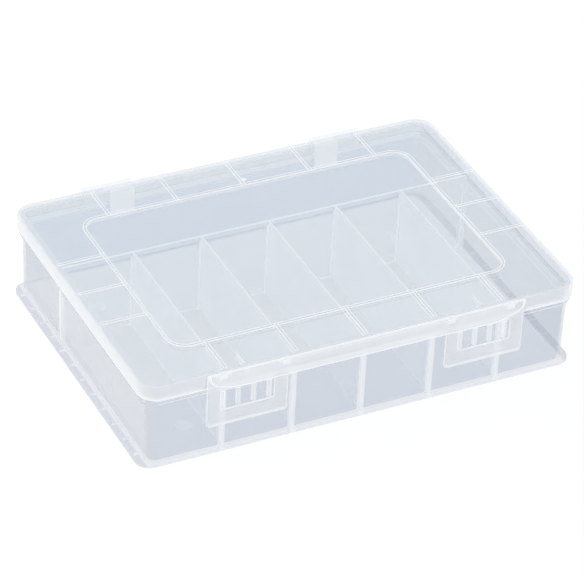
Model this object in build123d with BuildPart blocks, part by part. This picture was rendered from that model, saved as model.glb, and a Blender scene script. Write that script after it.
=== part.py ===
from build123d import *
from math import cos, radians, sin, tan
import os

# Compartment storage box of clear plastic: tray, hinged lid, front latch bar and slide-in dividers.
# X is the width, Y the depth with the back at +Y, Z is up. All sizes are in millimetres.
# The origin is the middle of the underside, on the surface that the box stands on.

os.makedirs("parts", exist_ok=True)

# Overall sizes of the closed box
lid_width = 300.0
lid_depth = 214.6
box_height = 62.6

# Lid
lid_corner_radius = 12.6
lid_plate = 2.0
lid_skirt_height = 11.4
lid_skirt_wall = 1.8
lid_edge_round = 1.5
panel_side_margin = 34.6
panel_front_margin = 33.2
panel_corner_radius = 11.0
panel_depth = 2.0
panel_plate = 1.8
top_rib_width = 2.4
top_rib_height = 0.5
side_rib_count = 3
side_rib_pitch = 34.6
guard_fin_thickness = 1.6
guard_fin_drop = 6.0
guard_fin_length = 13.0
guard_fin_gap = 1.0

# Tray
skirt_clearance = 0.4
rim_gap = 0.4
shoulder_side_step = 2.0
shoulder_front_step = 0.6
shoulder_height = 45.5
shoulder_chamfer = 0.5
bead_overhang = 1.2
bead_height = 3.4
bead_gap = 0.8
wall_thickness = 1.7
wall_draft = 0.8
foot_corner_radius = 7.0
floor_thickness = 2.0
floor_fillet = 1.0
flange_width = 5.6
flange_thickness = 1.8
flange_corner_radius = 10.0
foot_lip = 2.2
flange_rib_count = 12
flange_rib_pitch = 16.65
flange_rib_width = 1.4
flange_rib_height = 1.0
floor_disc_radius = 5.5
floor_disc_height = 0.4
floor_disc_side_margin = 34.5
floor_disc_front_margin = 26.0
floor_disc_back_margin = 41.0

# Dividers and their guides
columns = 6
back_row_depth = 65.9
long_divider_thickness = 1.8
cross_divider_thickness = 1.5
divider_lid_gap = 0.3
divider_side_play = 0.2
divider_end_gap = 0.3
divider_corner_gap = 0.4
guide_rib_width = 1.2
guide_rib_depth = 1.8
guide_top_gap = 3.0
small_guide_width = 0.7
small_guide_depth = 1.2

# Rear hinges
hinge_outer_edge = 100.0
hinge_half_width = 17.2
hinge_side_gap = 0.3
hinge_standoff = 4.0
hinge_rise = 1.5
hinge_barrel_radius = 3.4
hinge_pin_radius = 1.6
hinge_pin_play = 0.05
hinge_pin_length = 12.0
hinge_bracket_drop = 11.0
hinge_bracket_gap = 0.8
hinge_gusset_count = 2
hinge_gusset_width = 6.8
hinge_plate_thickness = 2.2
hinge_block_inset = 0.5
hinge_block_top_gap = 1.2
hinge_block_bevel = 3.0
hinge_block_clearance = 1.1

# Front latch bar
latch_half_span = 108.9
latch_end_gap = 1.5
latch_back_gap = 0.3
latch_wall = 1.5
latch_axis_drop = 1.8
latch_band_drop = 1.0
latch_sweep_width = 25.0
latch_sweep_drop = 0.5
tab_width = 54.2
tab_bottom = 23.6
tab_corner_radius = 1.2
tab_lip_height = 3.4
tab_lip_reach = 0.8
window_width = 36.6
window_bottom = 33.9
window_top = 48.7
window_corner_radius = 1.0
grip_lip_height = 1.5
grip_lip_depth = 1.2
rail_height = 8.2
rail_end_height = 4.0
rail_end_width = 7.5
skirt_end_round = 3.0
lug_width = 4.0
lug_inner_inset = 2.0
lug_outer_inset = 10.0
lug_side_gap = 0.3
lug_pin_radius = 0.7
lug_pin_length = 2.5
lug_pin_play = 0.05
lug_shrink = 0.1
lug_notch_drop = 2.4
lug_web_reach = 1.2

# Catch on the tray, behind each window
catch_rib_count = 4
catch_rib_pitch = 10.5
catch_rib_width = 2.4
catch_ledge_height = 1.8
catch_ledge_overhang = 1.0
catch_front_gap = 0.3
catch_window_gap = 0.6

# Levels that follow from the sizes above
border_top = box_height - top_rib_height
skirt_bottom = box_height - lid_skirt_height
lid_underside = border_top - lid_plate
panel_top = border_top - panel_depth
panel_underside = panel_top - panel_plate
rim_top = lid_underside - rim_gap
divider_top = panel_underside - divider_lid_gap
panel_width = lid_width - 2 * panel_side_margin
panel_length = lid_depth - 2 * panel_front_margin

# Plan sizes of the tray
skirt_inset = lid_skirt_wall + skirt_clearance
rim_width = lid_width - 2 * skirt_inset
rim_depth = lid_depth - 2 * skirt_inset
rim_corner_radius = lid_corner_radius - skirt_inset
draft_slope = tan(radians(wall_draft))
foot_width = rim_width - 2 * (shoulder_side_step + shoulder_height * draft_slope)
foot_depth = rim_depth - 2 * (shoulder_front_step + shoulder_height * draft_slope)
bead_top = skirt_bottom - bead_gap


def wall_growth(height):
    """How far the sloping wall has moved outwards at a height."""
    return height * draft_slope


def inner_half_width(height):
    return foot_width / 2 - wall_thickness + wall_growth(height)


def inner_half_depth(height):
    return foot_depth / 2 - wall_thickness + wall_growth(height)


# Places of the dividers: the long one runs along X, the short ones run along Y in front of it
long_divider_y = inner_half_depth(floor_thickness) - back_row_depth
cross_pitch = 2 * inner_half_width(floor_thickness) / columns
cross_xs = [(i - columns / 2) * cross_pitch for i in range(1, columns)]
side_rib_ys = [(i - (side_rib_count - 1) / 2) * side_rib_pitch for i in range(side_rib_count)]

# Hinge and latch axes, both along X
hinge_axis_y = lid_depth / 2 + hinge_standoff
hinge_axis_z = skirt_bottom + hinge_rise
latch_rod_radius = latch_wall
latch_axis_y = -(lid_depth / 2 + latch_back_gap + latch_rod_radius)
latch_axis_z = box_height - latch_axis_drop
band_bottom = skirt_bottom - latch_band_drop
tab_center_x = latch_half_span - tab_width / 2
tab_inner_face = lid_depth / 2 + latch_back_gap
lug_xs = [
    side * (latch_half_span - inset)
    for side in (-1, 1)
    for inset in (lug_outer_inset, tab_width - lug_inner_inset)
]
catch_front = tab_inner_face - catch_front_gap

# How closely an edge has to lie to where it is looked for
edge_match = 0.01


def slab(x_low, x_high, y_low, y_high, z_low, z_high, mode=Mode.ADD):
    """A block between two corners, drawn on the plane of its lower face."""
    with BuildSketch(Plane.XY.offset(z_low)) as face:
        with Locations(((x_low + x_high) / 2, (y_low + y_high) / 2)):
            Rectangle(x_high - x_low, y_high - y_low)
    extrude(face.sketch, amount=z_high - z_low, mode=mode)


def side_profile(points, x_low, x_high, mode=Mode.ADD):
    """A prism along X whose outline is given as (y, z) points."""
    with BuildSketch(Plane.YZ.offset(x_low)) as face:
        Polygon(*points, align=None)
    extrude(face.sketch, amount=x_high - x_low, mode=mode)


def bar_along_x(y, z, radius, x_low, x_high, mode=Mode.ADD):
    """A round bar along X."""
    with BuildSketch(Plane.YZ.offset(x_low)) as face:
        with Locations((y, z)):
            Circle(radius)
    extrude(face.sketch, amount=x_high - x_low, mode=mode)


def collar(width, depth, radius, z_low, height, flare):
    """A level slice of the tray's outline whose lower edge slopes outwards by the flare."""
    with BuildSketch(Plane.XY.offset(z_low)) as lower:
        RectangleRounded(width - 2 * flare, depth - 2 * flare, radius - flare)
    extrude(lower.sketch, amount=flare, taper=-45)
    with BuildSketch(Plane.XY.offset(z_low + flare)) as upper:
        RectangleRounded(width, depth, radius)
    extrude(upper.sketch, amount=height - flare)


def mirrored_span(side, inner, outer):
    """The low and high X of a stretch that lies between two distances from the middle."""
    return (inner, outer) if side > 0 else (-outer, -inner)


# Hollow of the tray, wider at the top than at the floor
with BuildPart() as hollow:
    with BuildSketch(Plane.XY.offset(floor_thickness)):
        RectangleRounded(
            2 * inner_half_width(floor_thickness),
            2 * inner_half_depth(floor_thickness),
            foot_corner_radius - wall_thickness + wall_growth(floor_thickness),
        )
    extrude(amount=box_height - floor_thickness, taper=-wall_draft)
    fillet(hollow.edges().group_by(Axis.Z)[0], floor_fillet)


def tray_guides():
    """Pairs of upright ribs that hold the ends of the dividers."""
    top = rim_top - guide_top_gap
    front_low = -inner_half_depth(rim_top) - divider_side_play
    front_high = -inner_half_depth(floor_thickness) + guide_rib_depth
    half_slot = cross_divider_thickness / 2 + divider_side_play
    for x in cross_xs:
        for side in (-1, 1):
            low, high = mirrored_span(side, half_slot, half_slot + guide_rib_width)
            slab(x + low, x + high, front_low, front_high, floor_thickness / 2, top)
    half_slot = long_divider_thickness / 2 + divider_side_play
    for end in (-1, 1):
        x_low, x_high = mirrored_span(
            end,
            inner_half_width(floor_thickness) - guide_rib_depth,
            inner_half_width(rim_top) + divider_side_play,
        )
        for side in (-1, 1):
            low, high = mirrored_span(side, half_slot, half_slot + guide_rib_width)
            slab(x_low, x_high, long_divider_y + low, long_divider_y + high, floor_thickness / 2, top)


def tray_catches():
    """Under each latch window: a ledge on the front wall, carried by upright ribs."""
    wall_inside = -(foot_depth / 2 - wall_thickness / 2)
    ledge_low = window_top + catch_window_gap
    ledge_high = ledge_low + catch_ledge_height
    half_ledge = (catch_rib_count - 1) * catch_rib_pitch / 2 + catch_rib_width / 2 + catch_ledge_overhang
    for side in (-1, 1):
        center = side * tab_center_x
        slab(center - half_ledge, center + half_ledge, -catch_front, wall_inside, ledge_low, ledge_high)
        for i in range(catch_rib_count):
            x = center + (i - (catch_rib_count - 1) / 2) * catch_rib_pitch
            half = catch_rib_width / 2
            slab(x - half, x + half, -catch_front, wall_inside, window_bottom, ledge_high)


def tray_hinges():
    """Brackets on the back wall: a plate and gussets that carry the inner half of each hinge."""
    wall_inside = foot_depth / 2 - wall_thickness / 2
    top = skirt_bottom - hinge_bracket_gap
    bottom = hinge_axis_z - hinge_bracket_drop
    ring_middle = (hinge_pin_radius + hinge_pin_play + hinge_barrel_radius) / 2
    outer_x = hinge_outer_edge - hinge_half_width - hinge_side_gap
    inner_x = hinge_outer_edge - 2 * hinge_half_width
    gusset = [
        (wall_inside, bottom),
        (wall_inside, top),
        (hinge_axis_y - hinge_pin_radius / 2, top),
        (hinge_axis_y + ring_middle * sin(radians(30)), hinge_axis_z - ring_middle * cos(radians(30))),
    ]
    for side in (-1, 1):
        x_low, x_high = mirrored_span(side, inner_x, outer_x)
        slab(x_low, x_high, wall_inside, hinge_axis_y - hinge_pin_radius / 2, top - hinge_plate_thickness, top)
        step = (x_high - x_low - hinge_gusset_width) / (hinge_gusset_count - 1)
        for i in range(hinge_gusset_count):
            side_profile(gusset, x_low + i * step, x_low + i * step + hinge_gusset_width)
        bar_along_x(hinge_axis_y, hinge_axis_z, hinge_barrel_radius, x_low, x_high)
        bar_along_x(
            hinge_axis_y, hinge_axis_z, hinge_pin_radius + hinge_pin_play, x_low, x_high, Mode.SUBTRACT
        )


with BuildPart() as base_tray:
    # Sloping walls up to the shoulder
    with BuildSketch():
        RectangleRounded(foot_width, foot_depth, foot_corner_radius)
    extrude(amount=shoulder_height, taper=-wall_draft)
    # Rim that the lid's skirt goes over, and the bead that the skirt ends on
    rim_low = shoulder_height - shoulder_chamfer
    collar(rim_width, rim_depth, rim_corner_radius, rim_low, rim_top - rim_low, shoulder_chamfer)
    collar(
        rim_width + 2 * bead_overhang, rim_depth + 2 * bead_overhang, rim_corner_radius + bead_overhang,
        bead_top - bead_height, bead_height, bead_overhang,
    )
    # Flat foot with the two side flanges
    with BuildSketch():
        RectangleRounded(
            foot_width + 2 * flange_width, foot_depth + 2 * foot_lip, flange_corner_radius
        )
    extrude(amount=flange_thickness)
    # Cross ribs on the flanges
    for side in (-1, 1):
        x_low, x_high = mirrored_span(
            side, foot_width / 2 - wall_thickness / 2, foot_width / 2 + flange_width - flange_rib_height
        )
        for i in range(flange_rib_count):
            y = (i - (flange_rib_count - 1) / 2) * flange_rib_pitch
            slab(
                x_low, x_high, y - flange_rib_width / 2, y + flange_rib_width / 2,
                flange_thickness / 2, flange_thickness + flange_rib_height,
            )
    tray_catches()
    tray_hinges()
    add(hollow.part, mode=Mode.SUBTRACT)
    tray_guides()
    # Low round marks on the floor, near the corners
    with BuildSketch(Plane.XY.offset(floor_thickness)):
        disc_x = inner_half_width(0) - floor_disc_side_margin
        disc_front = floor_disc_front_margin - inner_half_depth(0)
        disc_back = inner_half_depth(0) - floor_disc_back_margin
        with Locations((-disc_x, disc_front), (disc_x, disc_front), (-disc_x, disc_back), (disc_x, disc_back)):
            Circle(floor_disc_radius)
    extrude(amount=floor_disc_height)
base_tray.part.label = "base_tray"


def lid_ribs():
    """Low ribs on top of the border, from the bead around the panel to the outer edge."""
    low = border_top - top_rib_height
    half = top_rib_width / 2
    y_outer = lid_depth / 2 - lid_edge_round - top_rib_height
    for x in cross_xs:
        for side in (-1, 1):
            y_low, y_high = mirrored_span(side, panel_length / 2, y_outer)
            slab(x - half, x + half, y_low, y_high, low, box_height)
    x_outer = lid_width / 2 - lid_edge_round - top_rib_height
    for y in side_rib_ys:
        for side in (-1, 1):
            x_low, x_high = mirrored_span(side, panel_width / 2, x_outer)
            slab(x_low, x_high, y - half, y + half, low, box_height)


def lid_guard_fins():
    """A small three-cornered fin inside the front wall, behind the middle of each latch tab."""
    front = -(inner_half_depth(lid_underside - guard_fin_drop) - guard_fin_gap)
    top = lid_underside + lid_plate / 2
    outline = [
        (front, top),
        (front, lid_underside - guard_fin_drop),
        (front + guard_fin_thickness, lid_underside - guard_fin_drop),
        (front + guard_fin_length, lid_underside),
        (front + guard_fin_length, top),
    ]
    half = guard_fin_thickness / 2
    for side in (-1, 1):
        side_profile(outline, side * tab_center_x - half, side * tab_center_x + half)


def lid_hinges():
    """Blocks on the back of the skirt: outer half with barrel and pin, inner half above the tray's barrel."""
    face = lid_depth / 2 - lid_skirt_wall / 2
    back = hinge_axis_y + hinge_barrel_radius - hinge_block_inset
    top = box_height - hinge_block_top_gap
    bevel = hinge_block_bevel
    split = hinge_outer_edge - hinge_half_width
    outer_outline = [
        (face, skirt_bottom + hinge_plate_thickness / 4),
        (face, top),
        (back - bevel, top),
        (back, top - bevel),
        (back, hinge_axis_z),
        (hinge_axis_y, hinge_axis_z),
    ]
    inner_bottom = hinge_axis_z + hinge_barrel_radius + hinge_block_clearance
    inner_outline = [
        (face, inner_bottom),
        (face, top),
        (back - bevel, top),
        (back, top - bevel),
        (back, inner_bottom),
    ]
    for side in (-1, 1):
        x_low, x_high = mirrored_span(side, split, hinge_outer_edge)
        side_profile(outer_outline, x_low, x_high)
        bar_along_x(hinge_axis_y, hinge_axis_z, hinge_barrel_radius, x_low, x_high)
        x_low, x_high = mirrored_span(side, hinge_outer_edge - 2 * hinge_half_width, split)
        side_profile(inner_outline, x_low, x_high)
        x_low, x_high = mirrored_span(side, split - hinge_pin_length, split)
        bar_along_x(hinge_axis_y, hinge_axis_z, hinge_pin_radius, x_low, x_high)


def lid_latch_lugs():
    """Small lugs on the front edge, with pins on both sides, that carry the latch bar."""
    radius = latch_rod_radius - lug_shrink
    half = lug_width / 2
    for x in lug_xs:
        bar_along_x(latch_axis_y, latch_axis_z, radius, x - half, x + half)
        bar_along_x(
            latch_axis_y, latch_axis_z, lug_pin_radius,
            x - half - lug_pin_length, x + half + lug_pin_length,
        )
        slab(
            x - half, x + half, latch_axis_y, -lid_depth / 2 + lid_edge_round,
            latch_axis_z - lug_web_reach, latch_axis_z + lug_web_reach,
        )


with BuildPart() as lid:
    # Outer shell with a rounded top edge
    with BuildSketch(Plane.XY.offset(skirt_bottom)):
        RectangleRounded(lid_width, lid_depth, lid_corner_radius)
    extrude(amount=border_top - skirt_bottom)
    fillet(lid.edges().group_by(Axis.Z)[-1], lid_edge_round)
    # Hollow side
    with BuildSketch(Plane.XY.offset(skirt_bottom)):
        RectangleRounded(
            lid_width - 2 * lid_skirt_wall,
            lid_depth - 2 * lid_skirt_wall,
            lid_corner_radius - lid_skirt_wall,
        )
    extrude(amount=lid_underside - skirt_bottom, mode=Mode.SUBTRACT)
    # Sunken panel: its floor hangs below the border by the same step, and a bead runs round it
    with BuildSketch(Plane.XY.offset(panel_underside)):
        RectangleRounded(
            panel_width + 2 * panel_plate,
            panel_length + 2 * panel_plate,
            panel_corner_radius + panel_plate,
        )
    extrude(amount=lid_underside - panel_underside + lid_plate / 2)
    with BuildSketch(Plane.XY.offset(border_top - top_rib_height)):
        RectangleRounded(
            panel_width + 2 * top_rib_width,
            panel_length + 2 * top_rib_width,
            panel_corner_radius + top_rib_width,
        )
    extrude(amount=2 * top_rib_height)
    lid_ribs()
    with BuildSketch(Plane.XY.offset(panel_top)):
        RectangleRounded(panel_width, panel_length, panel_corner_radius)
    extrude(amount=box_height - panel_top, mode=Mode.SUBTRACT)
    # Gap in the front skirt for the latch bar, higher at its two ends
    gap_half = latch_half_span + latch_end_gap
    gap_front = -lid_depth / 2 - lid_skirt_wall
    gap_back = -lid_depth / 2 + lid_skirt_wall + skirt_clearance / 2
    rail_bottom = box_height - rail_height
    slab(-gap_half, gap_half, gap_front, gap_back, skirt_bottom, rail_bottom, Mode.SUBTRACT)
    skirt_ends = [
        e for e in lid.edges().filter_by(Axis.Y).filter_by_position(
            Axis.Z, skirt_bottom - edge_match, skirt_bottom + edge_match
        )
        if abs(abs(e.center().X) - gap_half) < edge_match
    ]
    fillet(skirt_ends, skirt_end_round)
    for side in (-1, 1):
        x_low, x_high = mirrored_span(side, gap_half - rail_end_width, gap_half)
        slab(x_low, x_high, gap_front, gap_back, skirt_bottom, box_height - rail_end_height, Mode.SUBTRACT)
    lid_guard_fins()
    lid_hinges()
    lid_latch_lugs()
lid.part.label = "lid"


def latch_outline():
    """The bar's front band: straight above, swept up at both ends below."""
    top = latch_axis_z
    sweep_high = latch_axis_z - latch_sweep_drop
    sweep = sweep_high - band_bottom
    flat = latch_half_span - latch_sweep_width
    with BuildLine() as outline:
        Line((-latch_half_span, top), (latch_half_span, top))
        Line((latch_half_span, top), (latch_half_span, sweep_high))
        EllipticalCenterArc((flat, sweep_high), latch_sweep_width, sweep, start_angle=270, arc_size=90)
        Line((flat, band_bottom), (-flat, band_bottom))
        EllipticalCenterArc((-flat, sweep_high), latch_sweep_width, sweep, start_angle=180, arc_size=90)
        Line((-latch_half_span, sweep_high), (-latch_half_span, top))
    make_face(outline.edges())


with BuildPart() as front_latch_bar:
    # Front band
    with BuildSketch(Plane.XZ.offset(-latch_axis_y)):
        latch_outline()
    extrude(amount=latch_wall)
    # Two hanging tabs, one wall thickness behind the band
    for side in (-1, 1):
        with BuildSketch(Plane.XZ.offset(tab_inner_face)):
            with Locations((side * tab_center_x, (tab_bottom + latch_axis_z) / 2)):
                Rectangle(tab_width, latch_axis_z - tab_bottom)
        extrude(amount=latch_wall)
    tab_corners = front_latch_bar.edges().filter_by(Axis.Y).group_by(Axis.Z)[0]
    fillet(tab_corners, tab_corner_radius)
    # Finger lip at the foot of each tab
    lip_face = -(tab_inner_face + latch_wall)
    lip_outline = [
        (lip_face + latch_wall / 2, tab_bottom),
        (lip_face - tab_lip_reach, tab_bottom),
        (lip_face - tab_lip_reach, tab_bottom + tab_lip_height / 6),
        (lip_face, tab_bottom + tab_lip_height),
        (lip_face + latch_wall / 2, tab_bottom + tab_lip_height),
    ]
    for side in (-1, 1):
        half = tab_width / 2 - tab_corner_radius
        side_profile(lip_outline, side * tab_center_x - half, side * tab_center_x + half)
    # Windows
    for side in (-1, 1):
        with BuildSketch(Plane.XZ.offset(tab_inner_face)):
            with Locations((side * tab_center_x, (window_bottom + window_top) / 2)):
                RectangleRounded(window_width, window_top - window_bottom, window_corner_radius)
        extrude(amount=latch_wall, mode=Mode.SUBTRACT)
    # Inward lip along the lower edge of the band, between the tabs
    grip_half = latch_half_span - tab_width
    slab(
        -grip_half, grip_half, latch_axis_y - latch_wall / 2, latch_axis_y + grip_lip_depth,
        band_bottom, band_bottom + grip_lip_height,
    )
    # Round hinge edge on top, with a gap for each lug and a hole for each pin
    bar_along_x(latch_axis_y, latch_axis_z, latch_rod_radius, -latch_half_span, latch_half_span)
    for x in lug_xs:
        half_gap = lug_width / 2 + lug_side_gap
        slab(
            x - half_gap, x + half_gap, latch_axis_y - 2 * latch_wall, latch_axis_y + 2 * latch_wall,
            latch_axis_z - lug_notch_drop, box_height, Mode.SUBTRACT,
        )
        hole_half = lug_width / 2 + lug_pin_length + lug_side_gap
        bar_along_x(
            latch_axis_y, latch_axis_z, lug_pin_radius + lug_pin_play,
            x - hole_half, x + hole_half, Mode.SUBTRACT,
        )
front_latch_bar.part.label = "front_latch_bar"


def corner_cut(radius):
    """How much is cut off a divider's lower corner to clear the rounded floor corner."""
    return radius + divider_corner_gap


with BuildPart() as long_divider:
    half_low = inner_half_width(floor_thickness) - divider_end_gap
    half_high = inner_half_width(divider_top) - divider_end_gap
    cut = corner_cut(floor_fillet)
    with BuildSketch(Plane.XZ.offset(-long_divider_y - long_divider_thickness / 2)):
        Polygon(
            (-half_low + cut, floor_thickness),
            (half_low - cut, floor_thickness),
            (half_low, floor_thickness + cut),
            (half_high, divider_top),
            (-half_high, divider_top),
            (-half_low, floor_thickness + cut),
            align=None,
        )
    extrude(amount=long_divider_thickness)
    # Small guides on the front face for the ends of the short dividers
    face = long_divider_y - long_divider_thickness / 2
    half_slot = cross_divider_thickness / 2 + divider_side_play
    for x in cross_xs:
        for side in (-1, 1):
            low, high = mirrored_span(side, half_slot, half_slot + small_guide_width)
            slab(
                x + low, x + high, face - small_guide_depth, face + long_divider_thickness / 2,
                floor_thickness, divider_top - guide_top_gap,
            )
long_divider.part.label = "long_divider"


def cross_divider(x):
    """One short divider, from the front wall to the long divider."""
    with BuildPart() as divider:
        cut = corner_cut(floor_fillet)
        front_low = -inner_half_depth(floor_thickness) + divider_end_gap
        front_high = -inner_half_depth(divider_top) + divider_end_gap
        back = long_divider_y - long_divider_thickness / 2 - divider_end_gap
        outline = [
            (front_low + cut, floor_thickness),
            (back, floor_thickness),
            (back, divider_top),
            (front_high, divider_top),
            (front_low, floor_thickness + cut),
        ]
        half = cross_divider_thickness / 2
        side_profile(outline, x - half, x + half)
    return divider.part


cross_dividers = [cross_divider(x) for x in cross_xs]
for number, divider in enumerate(cross_dividers, start=1):
    divider.label = f"cross_divider_{number}"

for piece in (base_tray.part, lid.part, front_latch_bar.part, long_divider.part, *cross_dividers):
    export_step(piece, f"parts/{piece.label}.step")
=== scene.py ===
from math import cos, pi, radians, sin

import bmesh
import bpy
from mathutils import Matrix, Vector


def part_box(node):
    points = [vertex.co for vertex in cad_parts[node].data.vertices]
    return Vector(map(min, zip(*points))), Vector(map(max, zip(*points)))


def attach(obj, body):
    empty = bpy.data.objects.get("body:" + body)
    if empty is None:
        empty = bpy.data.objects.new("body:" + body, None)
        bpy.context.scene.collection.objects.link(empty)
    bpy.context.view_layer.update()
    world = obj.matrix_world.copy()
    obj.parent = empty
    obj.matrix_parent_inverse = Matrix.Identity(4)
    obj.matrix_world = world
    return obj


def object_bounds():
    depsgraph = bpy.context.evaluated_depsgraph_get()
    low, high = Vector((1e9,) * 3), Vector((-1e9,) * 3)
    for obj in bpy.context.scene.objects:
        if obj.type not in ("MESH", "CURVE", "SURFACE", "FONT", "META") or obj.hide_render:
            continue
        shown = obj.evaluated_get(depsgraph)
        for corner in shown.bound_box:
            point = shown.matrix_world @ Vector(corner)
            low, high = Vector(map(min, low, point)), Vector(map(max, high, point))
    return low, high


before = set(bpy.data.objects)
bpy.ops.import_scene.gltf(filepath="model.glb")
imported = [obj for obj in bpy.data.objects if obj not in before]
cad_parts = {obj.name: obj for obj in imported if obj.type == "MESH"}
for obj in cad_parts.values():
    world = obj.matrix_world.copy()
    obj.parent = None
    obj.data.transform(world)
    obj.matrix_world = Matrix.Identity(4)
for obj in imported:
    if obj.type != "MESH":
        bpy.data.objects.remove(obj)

cad_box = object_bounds()
scene = bpy.context.scene
scene.view_settings.view_transform = "Standard"
# The box is many thin clear walls one behind the other, so a ray passes through a lot of faces
scene.cycles.transparent_max_bounces = 48

# Camera at the photograph's viewing angle: angles in degrees, lengths in metres, the lens in millimetres
camera_azimuth = -27.2
camera_elevation = 34.86
camera_roll = 2.94
camera_distance = 2.296
camera_near = 0.05
camera_lens = 220.7
camera_sensor = 36
camera_aim = Vector((-0.0024, -0.0063, 0.03))


def make_camera():
    """A long lens, aimed at the box from the front left and above."""
    azimuth, elevation, roll = (radians(a) for a in (camera_azimuth, camera_elevation, camera_roll))
    forward = Vector((-sin(azimuth) * cos(elevation), cos(azimuth) * cos(elevation), -sin(elevation)))
    level_right = forward.cross(Vector((0, 0, 1))).normalized()
    level_up = level_right.cross(forward)
    right = cos(roll) * level_right + sin(roll) * level_up
    up = right.cross(forward)
    data = bpy.data.cameras.new("camera")
    data.lens = camera_lens
    data.sensor_width = camera_sensor
    data.clip_start = camera_near
    camera = bpy.data.objects.new("camera", data)
    camera.rotation_mode = "QUATERNION"
    camera.rotation_quaternion = Matrix((right, up, -forward)).transposed().to_quaternion()
    camera.location = camera_aim - camera_distance * forward
    scene.collection.objects.link(camera)
    scene.camera = camera


make_camera()


# Lights and surroundings
sky_colour = (0.985, 0.993, 1.0, 1)
sky_strength = 0.99
seen_colour = (1, 1, 1, 1)
floor_colour = (0.985, 0.985, 0.985, 1)
floor_roughness = 0.9
floor_half_size = 6.0
floor_gap = 0.0002
lamp_aim = (0, 0, 0.03)


def make_world():
    """An even white sky, seen as plain white by the camera, in reflections and through glass."""
    world = bpy.data.worlds.new("studio")
    world.use_nodes = True
    scene.world = world
    nodes, links = world.node_tree.nodes, world.node_tree.links
    nodes.clear()
    out = nodes.new("ShaderNodeOutputWorld")
    light = nodes.new("ShaderNodeBackground")
    light.inputs["Color"].default_value = sky_colour
    light.inputs["Strength"].default_value = sky_strength
    seen = nodes.new("ShaderNodeBackground")
    seen.inputs["Color"].default_value = seen_colour
    seen.inputs["Strength"].default_value = 1.0
    path = nodes.new("ShaderNodeLightPath")
    seen_rays = path.outputs["Is Camera Ray"]
    for ray in ("Is Glossy Ray", "Is Transmission Ray"):
        either = nodes.new("ShaderNodeMath")
        either.operation = "MAXIMUM"
        links.new(seen_rays, either.inputs[0])
        links.new(path.outputs[ray], either.inputs[1])
        seen_rays = either.outputs[0]
    mix = nodes.new("ShaderNodeMixShader")
    links.new(seen_rays, mix.inputs[0])
    links.new(light.outputs[0], mix.inputs[1])
    links.new(seen.outputs[0], mix.inputs[2])
    links.new(mix.outputs[0], out.inputs[0])


def area_light(name, place, size, power):
    """A square softbox that points at the box."""
    data = bpy.data.lights.new(name, "AREA")
    data.shape = "SQUARE"
    data.size = size
    data.energy = power
    lamp = bpy.data.objects.new(name, data)
    lamp.location = place
    lamp.rotation_mode = "QUATERNION"
    lamp.rotation_quaternion = (Vector(lamp_aim) - Vector(place)).to_track_quat("-Z", "Y")
    scene.collection.objects.link(lamp)


def make_floor():
    """A plain pale floor, just under the box so that the two don't share a plane."""
    mesh = bpy.data.meshes.new("floor")
    h = floor_half_size
    mesh.from_pydata([(-h, -h, 0), (h, -h, 0), (h, h, 0), (-h, h, 0)], [], [(0, 1, 2, 3)])
    floor = bpy.data.objects.new("floor", mesh)
    floor.location.z = cad_box[0].z - floor_gap
    scene.collection.objects.link(floor)
    material = bpy.data.materials.new("floor")
    material.use_nodes = True
    shader = material.node_tree.nodes["Principled BSDF"]
    shader.inputs["Base Color"].default_value = floor_colour
    shader.inputs["Roughness"].default_value = floor_roughness
    shader.inputs["Specular IOR Level"].default_value = 0.0
    mesh.materials.append(material)


make_world()
make_floor()
area_light("back_softbox", place=(-0.5, 1.6, 1.2), size=0.5, power=3.0)
area_light("left_softbox", place=(-1.7, -0.5, 1.0), size=0.4, power=1.5)


# How far a mask takes to go from 0 to 1, in metres
mask_edge = 0.0001
# How much of a face's normal lies along an axis where the face begins to count as turned that way, and fully
turn_begins, turn_ends = 0.5, 0.9


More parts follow.
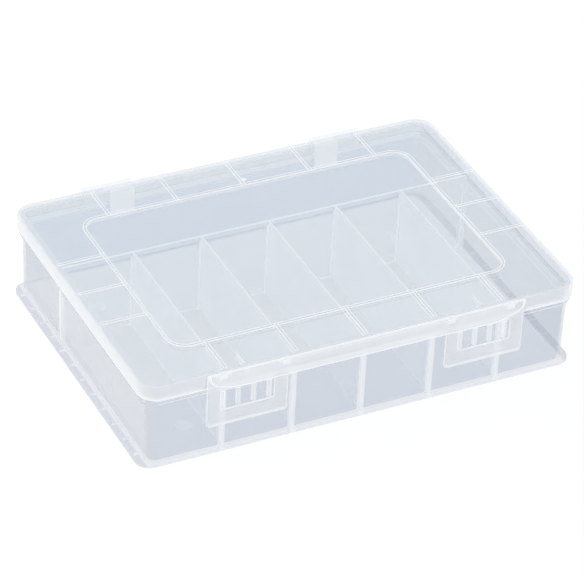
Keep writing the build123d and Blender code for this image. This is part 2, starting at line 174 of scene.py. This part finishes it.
class Nodes:
    """The shader nodes of one material, with short ways to make and join them."""

    def __init__(self, material):
        material.use_nodes = True
        self.tree = material.node_tree
        self.tree.nodes.clear()

    def new(self, kind, inputs=None, **settings):
        """A shader node. inputs maps a socket's name or number to a value or to another node's output."""
        node = self.tree.nodes.new("ShaderNode" + kind)
        for name, value in settings.items():
            setattr(node, name, value)
        for name, value in (inputs or {}).items():
            if isinstance(value, bpy.types.NodeSocket):
                self.tree.links.new(value, node.inputs[name])
            else:
                node.inputs[name].default_value = value
        return node

    def math(self, operation, a, b=0.0):
        return self.new("Math", {0: a, 1: b}, operation=operation).outputs[0]

    def invert(self, mask):
        return self.math("SUBTRACT", 1.0, mask)

    def span(self, value, low, high, to_low=0.0, to_high=1.0):
        """A smooth step: to_low below low, to_high above high."""
        inputs = {0: value, 1: low, 2: high, 3: to_low, 4: to_high}
        return self.new("MapRange", inputs, interpolation_type="SMOOTHSTEP").outputs[0]

    def above(self, value, low, soft=mask_edge):
        return self.span(value, low - soft, low)

    def below(self, value, high, soft=mask_edge):
        return self.span(value, high, high + soft, 1.0, 0.0)

    def within(self, value, low, high):
        """1 between low and high, 0 outside them."""
        return self.all(self.above(value, low), self.below(value, high))

    def turned(self, normal):
        """1 on the faces that are square to an axis, from the length of their normal along it."""
        return self.span(normal, turn_begins, turn_ends)

    def all(self, *masks):
        """1 where every mask is 1."""
        result = masks[0]
        for mask in masks[1:]:
            result = self.math("MULTIPLY", result, mask)
        return result

    def total(self, *gains):
        """The sum of pairs of a mask and the haze it adds."""
        result = 0.0
        for mask, gain in gains:
            result = self.new("Math", {0: mask, 1: gain, 2: result}, operation="MULTIPLY_ADD").outputs[0]
        return result

    def nearest(self, value, pitch):
        """How far a value lies from the nearest multiple of the pitch."""
        return self.math("PINGPONG", value, pitch / 2)

    def outline_distance(self, x, y, half_width, half_depth, radius):
        """How far a point lies outside a rectangle with round corners; negative inside it."""
        over_x = self.math("SUBTRACT", x, half_width - radius)
        over_y = self.math("SUBTRACT", y, half_depth - radius)
        inner = self.math("MINIMUM", self.math("MAXIMUM", over_x, over_y), 0.0)
        corner_x = self.math("POWER", self.math("MAXIMUM", over_x, 0.0), 2.0)
        corner_y = self.math("POWER", self.math("MAXIMUM", over_y, 0.0), 2.0)
        outer = self.math("SQRT", self.math("ADD", corner_x, corner_y))
        return self.math("SUBTRACT", self.math("ADD", outer, inner), radius)

    def noise(self, place, scale, detail):
        return self.new("TexNoise", {"Vector": place, "Scale": scale, "Detail": detail}).outputs["Fac"]

    def mix_colour(self, share, first, second):
        return self.new("Mix", {0: share, 6: first, 7: second}, data_type="RGBA").outputs[2]

    def shader_mix(self, share, first, second):
        return self.new("MixShader", {0: share, 1: first, 2: second}).outputs[0]


# Sizes that the finishes follow, in metres, from the frame where it has them
lid_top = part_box("lid")[1].z
rim_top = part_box("base_tray")[1].z
latch_half_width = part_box("front_latch_bar")[1].x
divider_low, divider_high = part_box("cross_divider_4")
long_low, long_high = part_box("long_divider")
divider_pitch = (divider_low.x + divider_high.x) / 2
long_divider_y = (long_low.y + long_high.y) / 2
# How wide the painted highlight lines along edges are
highlight_width = 0.0004

# Lid: border, ribs, the raised ring round the panel, skirt, fins, lugs and hinge blocks
border_top = lid_top - 0.0005
raised_level = border_top + 0.0003
raised_width = 0.0024
side_rib_pitch = 0.0346
panel_half_width, panel_half_depth, panel_radius = 0.1154, 0.0741, 0.011
skirt_bottom = lid_top - 0.0114
skirt_glint_height = 0.0008
lug_face = 0.1076
fin_half_thickness = 0.001
fin_bottom, fin_top, fin_back = 0.052, 0.0597, 0.085
hinge_block_face, hinge_block_top = 0.105, 0.0615
hinge_inner_x, hinge_bracket_x, hinge_outer_x = 0.0656, 0.0825, 0.1

# Tray: walls, bead, guides, flange, floor, catches and hinge brackets
wall_outer_x, wall_outer_y = 0.1463, 0.1049
wall_inner_x, wall_inner_y = 0.1439, 0.1028
guide_face_x, guide_face_y = 0.1416, 0.0999
guide_reach = 0.0024
guide_print = 0.0015
guide_print_bottom, guide_print_top = 0.003, 0.0465
beyond_dividers = 0.12
bead_low, bead_high = 0.047, 0.0504
flange_inner_x, flange_rib_level = 0.1459, 0.0019
flange_level, flange_edge = 0.004, 0.001
foot_edge_y = 0.1035
floor_top = 0.002
floor_mark_height = 0.0004
catch_face, catch_bottom, catch_top = 0.1048, 0.0335, 0.0512
catch_reach = 0.0185
hinge_wall_y, hinge_bracket_bottom = 0.0985, 0.0417
back_wall_y = 0.1
back_shade_begins, back_shade_ends = 0.03, 0.06

# Latch bar: tabs and band
tab_center_x = latch_half_width - 0.0271
band_face = 0.1095
band_bottom = 0.0502
sweep_width, sweep_top = 0.025, 0.0603
band_highlight_begins, band_highlight_soft = 0.94, 0.01

# The plastic: the milk that scatters light, the clouding and orange peel of the moulding, and the gloss
milk_colour = (0.91, 0.922, 0.942, 1)
milk_roughness = 0.3
milk_ior = 1.49
most_haze = 0.92
cloud_scale, cloud_detail = 14.0, 3.0
cloud_low, cloud_high = 0.3, 0.7
cloud_thinnest, cloud_thickest = 0.85, 1.15
peel_scale, peel_detail = 900.0, 2.0
peel_strength, peel_height = 0.15, 0.00005
least_facing = 0.2
gloss_roughness = 0.12
gloss_ior = 1.4
gloss_share = 0.5
# How much of the haze and of the tint the lamps' light meets
shade_share = 0.05
shade_film = (0.995, 0.996, 0.997, 1)

# The tint that one face of each part gives to the light that passes from behind it to the camera: partly the
# plastic's own tint, partly painted shade for the shade under and inside the box
tray_film = (0.872, 0.892, 0.922, 1)
back_wall_shade_film = (0.836, 0.865, 0.904, 1)
side_wall_shade_film = (0.857, 0.865, 0.885, 1)
back_side_shade_film = (0.84, 0.85, 0.872, 1)
under_skirt_light_film = (0.955, 0.96, 0.965, 1)
tray_floor_film = (0.905, 0.908, 0.922, 1)
flange_shade_film = (0.82, 0.83, 0.86, 1)
lid_film = (0.91, 0.928, 0.945, 1)
latch_film = (0.938, 0.942, 0.948, 1)
divider_film = (0.985, 0.987, 0.99, 1)


def clear_plastic(name, haze, film, regions):
    """Milky polypropylene: most light passes, tinted by the film, and the haze scatters the rest. The film
    darkens only what is seen through a face, not the lamps' light, so it is partly the plastic's own tint and
    partly painted shade.

    regions(n, axes, normals, film) gives what some parts of the piece add to the haze, and the film there.
    """
    material = bpy.data.materials.new(name)
    n = Nodes(material)
    place = n.new("TexCoord").outputs["Object"]
    axes = n.new("SeparateXYZ", {0: place}).outputs
    geometry = n.new("NewGeometry").outputs
    normal = n.new("SeparateXYZ", {0: geometry["True Normal"]}).outputs
    normals = [n.math("ABSOLUTE", axis) for axis in normal]
    # Faint clouding and flow marks of the moulding
    cloud = n.noise(place, cloud_scale, cloud_detail)
    cloud = n.span(cloud, cloud_low, cloud_high, cloud_thinnest, cloud_thickest)
    # Fine orange peel
    peel = n.noise(place, peel_scale, peel_detail)
    bump = n.new("Bump", {"Height": peel, "Strength": peel_strength, "Distance": peel_height}).outputs[0]
    more_haze, film = regions(n, axes, normals, film)
    amount = n.math("ADD", n.math("MULTIPLY", cloud, haze), more_haze)
    amount = n.math("MINIMUM", amount, most_haze)
    # A slanting look goes a longer way through the wall
    facing = n.new("LayerWeight", {"Blend": 0.5}).outputs["Facing"]
    way = n.math("DIVIDE", 1.0, n.math("MAXIMUM", n.invert(facing), least_facing))
    # Scattered light goes on forwards, so the wall casts less shade than it looks
    path = n.new("LightPath").outputs
    shade = n.math("MAXIMUM", path["Is Shadow Ray"], path["Is Diffuse Ray"])
    weaker = n.invert(n.math("MULTIPLY", shade, 1.0 - shade_share))
    clear = n.math("POWER", n.invert(amount), n.math("MULTIPLY", way, weaker))
    milk = n.new("BsdfPrincipled", {
        "Base Color": milk_colour, "Roughness": milk_roughness, "IOR": milk_ior, "Normal": bump,
    }).outputs[0]
    # Painted shade over the tint: the film darkens only what is seen through the face, and the lamps' light
    # meets the near-clear shade film instead
    window = n.new("BsdfTransparent", {"Color": n.mix_colour(shade, film, shade_film)}).outputs[0]
    # Gloss on the outward side of each face only
    gloss = n.new("BsdfGlossy", {"Roughness": gloss_roughness, "Normal": bump}).outputs[0]
    mirror = n.new("Fresnel", {"IOR": gloss_ior}).outputs[0]
    mirror = n.math("MULTIPLY", mirror, n.math("MULTIPLY", weaker, gloss_share))
    mirror = n.math("MULTIPLY", mirror, n.invert(geometry["Backfacing"]))
    surface = n.shader_mix(mirror, n.shader_mix(clear, milk, window), gloss)
    n.new("OutputMaterial", {"Surface": surface})
    return material


def tray_regions(n, axes, normals, film):
    """Films of the walls, floor and flange, darker as painted shade at the back, on the side walls and on the
    flange; whiter catches, guides, marks and hinge brackets; painted highlight lines along the bead, the
    rim's top and the front foot.
    """
    x, y, z = axes
    width, depth = n.math("ABSOLUTE", x), n.math("ABSOLUTE", y)
    front = n.math("MULTIPLY", y, -1.0)
    level, side_wall = n.turned(normals[2]), n.turned(normals[0])
    from_divider, has_dividers = n.nearest(x, divider_pitch), n.below(width, beyond_dividers)
    catches = n.all(
        n.above(front, catch_face),
        n.within(z, catch_bottom, catch_top),
        n.within(width, tab_center_x - catch_reach, tab_center_x + catch_reach),
    )
    front_guides = n.all(
        n.within(front, guide_face_y, wall_inner_y),
        n.above(z, floor_top),
        n.below(from_divider, guide_reach),
        has_dividers,
    )
    side_guides = n.all(
        n.within(width, guide_face_x, wall_inner_x),
        n.above(z, floor_top),
        n.within(y, long_low.y - guide_print, long_high.y + guide_print),
    )
    # The walls are whiter where a divider ends against them
    front_prints = n.all(
        n.above(front, guide_face_y),
        n.below(from_divider, guide_print),
        has_dividers,
        n.below(z, guide_print_top),
    )
    side_prints = n.all(
        n.above(width, guide_face_x),
        n.within(y, long_divider_y - guide_print, long_divider_y + guide_print),
        n.within(z, guide_print_bottom, guide_print_top),
    )
    over_x, over_y = n.math("SUBTRACT", width, wall_outer_x), n.math("SUBTRACT", depth, wall_outer_y)
    outside = n.above(n.math("MAXIMUM", over_x, over_y), 0.0)
    # Painted highlights along the bead's lower and upper edges
    bead_highlights = n.math(
        "ADD", n.within(z, bead_low - highlight_width, bead_low), n.within(z, bead_high - highlight_width, bead_high)
    )
    hinge_brackets = n.all(
        n.above(y, hinge_wall_y),
        n.above(z, hinge_bracket_bottom),
        n.within(width, hinge_inner_x, hinge_bracket_x),
    )
    flange = n.all(n.above(width, flange_inner_x), n.below(z, flange_level, flange_edge))
    # Painted highlight along the front foot's lower edge
    foot_highlight = n.all(n.above(front, foot_edge_y), n.below(z, highlight_width))
    mark_low, mark_high = floor_top + 0.5 * floor_mark_height, floor_top + 1.5 * floor_mark_height
    haze = n.total(
        (catches, 0.35),
        (front_guides, 0.3),
        (side_guides, 0.3),
        (n.all(outside, bead_highlights), 0.6),
        (front_prints, 0.3),
        (side_prints, 0.3),
        # Painted highlight along the rim's top
        (n.above(z, rim_top - highlight_width), 0.4),
        (hinge_brackets, 0.85),
        (side_wall, 0.05),
        (foot_highlight, 0.4),
        (n.all(flange, n.above(z, flange_rib_level)), 0.35),
        (n.all(level, n.within(z, mark_low, mark_high)), 0.3),
    )
    # Painted shade: the back compartment's walls get darker films, but for the back wall's top, which the
    # skirt covers
    back_shade = n.span(y, back_shade_begins, back_shade_ends)
    film = n.mix_colour(back_shade, film, back_wall_shade_film)
    # Painted shade: the side walls get a darker film of their own, darkest at the back
    film = n.mix_colour(side_wall, film, n.mix_colour(back_shade, side_wall_shade_film, back_side_shade_film))
    # Painted light: a lighter film on the back wall above the bead, under the skirt
    film = n.mix_colour(n.all(n.above(y, back_wall_y), n.above(z, bead_high)), film, under_skirt_light_film)
    film = n.mix_colour(level, film, tray_floor_film)
    # Painted shade: the flange gets the darkest film, for the shadow on the floor under its ledge
    return haze, n.mix_colour(flange, film, flange_shade_film)


def lid_regions(n, axes, normals, film):
    """Whiter skirt, hinge blocks, lugs and fins; painted highlights as bright lines along the edges of the
    ring and the ribs and along the skirt's lower edge.
    """
    x, y, z = axes
    width, depth = n.math("ABSOLUTE", x), n.math("ABSOLUTE", y)
    front = n.math("MULTIPLY", y, -1.0)
    level = n.turned(normals[2])
    upright = n.invert(level)
    half = raised_width / 2
    # Painted highlights: thin bright lines along both edges of each rib and of the ring round the panel
    rib_highlight_span = (half - highlight_width, half)
    long_ribs = n.all(n.within(n.nearest(x, divider_pitch), *rib_highlight_span), n.above(depth, panel_half_depth))
    side_ribs = n.all(n.within(n.nearest(y, side_rib_pitch), *rib_highlight_span), n.above(width, panel_half_width))
    out = n.outline_distance(width, depth, panel_half_width, panel_half_depth, panel_radius)
    ring = n.math("ADD", n.within(out, 0.0, highlight_width), n.within(out, raised_width - highlight_width, raised_width))
    lines = n.math("MINIMUM", n.math("ADD", n.math("ADD", long_ribs, side_ribs), ring), 1.0)
    fins = n.all(
        n.within(width, tab_center_x - fin_half_thickness, tab_center_x + fin_half_thickness),
        n.within(z, fin_bottom, fin_top),
        n.above(front, fin_back),
    )
    hinge_blocks = n.all(
        n.above(y, hinge_block_face),
        n.within(width, hinge_inner_x, hinge_outer_x),
        n.below(z, hinge_block_top),
    )
    haze = n.total(
        (upright, 0.19),
        (n.all(n.above(z, raised_level), level, lines), 0.6),
        (n.all(upright, n.above(z, border_top - mask_edge)), 0.5),
        (fins, 0.6),
        (n.above(front, lug_face), 0.5),
        (hinge_blocks, 0.7),
        # Painted glint along the skirt's lower edge
        (n.below(z, skirt_bottom + skirt_glint_height), 0.6),
    )
    return haze, n.mix_colour(upright, film, latch_film)


def latch_regions(n, axes, normals, film):
    """A whiter band with a painted highlight along its lower edge, and bright edges on the tabs and windows.
    """
    x, y, z = axes
    width, front = n.math("ABSOLUTE", x), n.math("MULTIPLY", y, -1.0)
    # A painted highlight follows the band's lower edge, which runs straight and sweeps up at both ends along
    # a quarter of an ellipse
    beyond = n.math("MAXIMUM", n.math("SUBTRACT", width, latch_half_width - sweep_width), 0.0)
    across = n.math("POWER", n.math("DIVIDE", beyond, sweep_width), 2.0)
    drop = n.math("DIVIDE", n.math("SUBTRACT", sweep_top, z), sweep_top - band_bottom)
    down = n.math("POWER", n.math("MAXIMUM", drop, 0.0), 2.0)
    edge = n.above(n.math("SQRT", n.math("ADD", across, down)), band_highlight_begins, band_highlight_soft)
    band = n.above(front, band_face)
    haze = n.total(
        (band, 0.1),
        (n.all(band, edge, n.above(z, band_bottom - highlight_width)), 0.5),
        (n.turned(normals[0]), 0.45),
        (n.turned(normals[2]), 0.45),
    )
    return haze, film


def short_divider_regions(n, axes, normals, film):
    """The narrow faces of a short divider are whiter."""
    return n.total((n.invert(n.turned(normals[0])), 0.8)), film


def long_divider_regions(n, axes, normals, film):
    """The narrow faces of the long divider are whiter."""
    return n.total((n.invert(n.turned(normals[1])), 0.8)), film


def plain_region(n, axes, normals, film):
    return 0.0, film


short_finish = clear_plastic(
    "short_divider_plastic", haze=0.14, film=divider_film, regions=short_divider_regions
)
finishes = {
    "base_tray": clear_plastic("tray_plastic", haze=0.035, film=tray_film, regions=tray_regions),
    "lid": clear_plastic("lid_plastic", haze=0.04, film=lid_film, regions=lid_regions),
    "front_latch_bar": clear_plastic("latch_plastic", haze=0.2, film=latch_film, regions=latch_regions),
    "long_divider": clear_plastic(
        "long_divider_plastic", haze=0.12, film=divider_film, regions=long_divider_regions
    ),
}

for name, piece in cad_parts.items():
    piece.data.materials.clear()
    piece.data.materials.append(finishes.get(name, short_finish))


# The gate mark: its place, and its outline as (radius, height) from the border up to its middle
gate_place = Vector((0.0026, 0.0809, border_top))
gate_outline = [(0.0018, -0.00005), (0.0016, 0.0002), (0.001, 0.00038), (0.0, 0.00045)]
gate_sides = 24
gate_weld = 0.00002


def gate_mark():
    """The low round stub where the mould's gate was, beside the middle rib at the back of the lid."""
    mesh = bmesh.new()
    points = [mesh.verts.new(gate_place + Vector((radius, 0, height))) for radius, height in gate_outline]
    edges = [mesh.edges.new(pair) for pair in zip(points, points[1:])]
    bmesh.ops.spin(
        mesh, geom=points + edges, cent=gate_place, axis=(0, 0, 1), angle=2 * pi, steps=gate_sides
    )
    bmesh.ops.remove_doubles(mesh, verts=mesh.verts, dist=gate_weld)
    rim = [edge for edge in mesh.edges if edge.is_boundary]
    bmesh.ops.contextual_create(mesh, geom=rim)
    bmesh.ops.recalc_face_normals(mesh, faces=mesh.faces)
    data = bpy.data.meshes.new("lid_gate_mark")
    mesh.to_mesh(data)
    mesh.free()
    data.materials.append(clear_plastic("gate_plastic", haze=0.5, film=latch_film, regions=plain_region))
    mark = bpy.data.objects.new("lid_gate_mark", data)
    scene.collection.objects.link(mark)
    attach(mark, "lid")


gate_mark()
